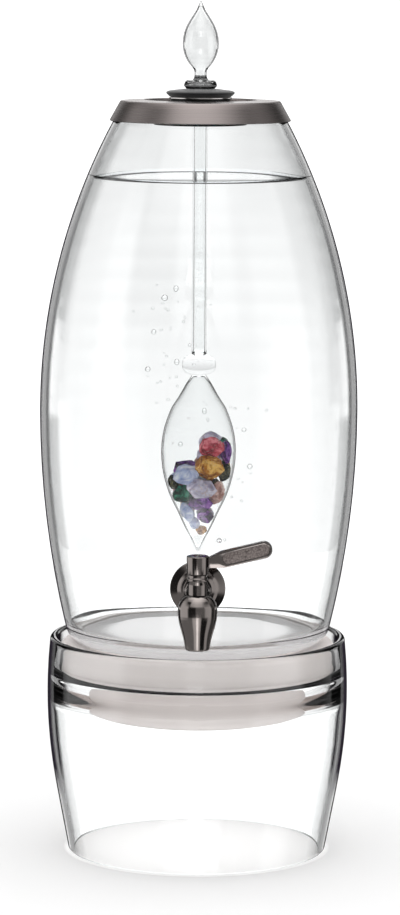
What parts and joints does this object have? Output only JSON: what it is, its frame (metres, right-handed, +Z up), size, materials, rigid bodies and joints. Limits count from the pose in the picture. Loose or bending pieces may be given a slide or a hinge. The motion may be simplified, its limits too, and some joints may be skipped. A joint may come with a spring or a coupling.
{
  "type": "water dispenser",
  "caption": "Egg-shaped glass water tank with a tap, on a steel ice bowl in a glass stand, with a lid and a glass vial of stones hanging in the water",
  "frame": {"origin": "middle of the stand's foot, on the surface that it stands on", "axes": "+Z up along the common axis of stand, tank, lid and vial; the tap points along -Y and its closed lever along +X"},
  "size_m": [0.2212, 0.2509, 0.5924],
  "materials": {
    "clear_glass": "thick clear blown glass, fire polished",
    "vial_glass": "thin clear lamp-worked glass",
    "satin_steel": "spun stainless steel, satin",
    "lid_steel": "spun stainless steel, brushed round",
    "bright_steel": "polished stainless steel",
    "tap_metal": "polished gunmetal plating",
    "turned_steel": "turned stainless steel",
    "inlay": "fine grained grey-brown pad",
    "black_plastic": "moulded, semi matt black",
    "black_silicone": "soft black silicone",
    "clear_silicone": "translucent silicone",
    "amethyst": "tumbled violet quartz",
    "citrine": "tumbled golden quartz",
    "rose_quartz": "tumbled pale pink quartz with dark specks",
    "chalcedony": "tumbled pale blue chalcedony",
    "green_stone": "tumbled green stone",
    "dark_stone": "tumbled dark speckled stone",
    "coral_stone": "tumbled rose-red stone",
    "lilac_stone": "tumbled grey-lilac agate"
  },
  "bodies": {
    "stand": {"stand": "clear_glass"},
    "bowl": {"ice_bowl": "satin_steel"},
    "tank": {"tank": "clear_glass", "outer_washer": "clear_silicone", "inner_washer": "clear_silicone", "steel_washer": "turned_steel", "hex_nut": "turned_steel", "shank": "turned_steel", "tap_flange": "tap_metal", "tap_body": "tap_metal", "spout": "tap_metal"},
    "lever": {"lever": "tap_metal", "lever_inlays": "inlay", "hub_screw": "bright_steel", "valve_plug": "turned_steel", "valve_seals": "black_silicone"},
    "lid": {"lid_cover": "lid_steel", "lid_gasket": "clear_silicone"},
    "vial": {"lid_insert": "black_plastic", "insert_ring": "bright_steel", "stopper": "black_silicone", "vial_finial": "vial_glass", "vial_tube": "vial_glass", "vial_bead": "vial_glass", "vial_pod": "vial_glass", "stones_amethyst": "amethyst", "stones_citrine": "citrine", "stones_rose_quartz": "rose_quartz", "stones_chalcedony": "chalcedony", "stones_green": "green_stone", "stones_dark": "dark_stone", "stones_coral": "coral_stone", "stones_lilac": "lilac_stone"}
  },
  "joints": [
    {"name": "bowl_lift", "type": "slide", "parent": "stand", "child": "bowl", "axis": [0, 0, 1], "range_m": [0, 0.08]},
    {"name": "tank_lift", "type": "slide", "parent": "bowl", "child": "tank", "axis": [0, 0, 1], "range_m": [0, 0.1]},
    {"name": "lid_lift", "type": "slide", "parent": "tank", "child": "lid", "axis": [0, 0, 1], "range_m": [0, 0.33]},
    {"name": "vial_lift", "type": "slide", "parent": "lid", "child": "vial", "axis": [0, 0, 1], "range_m": [0, 0.34]},
    {"name": "lever_turn", "type": "hinge", "parent": "tank", "child": "lever", "pos_m": [0, -0.12702, 0.214], "axis": [0, 0, 1], "range_deg": [-90, 0]}
  ]
}
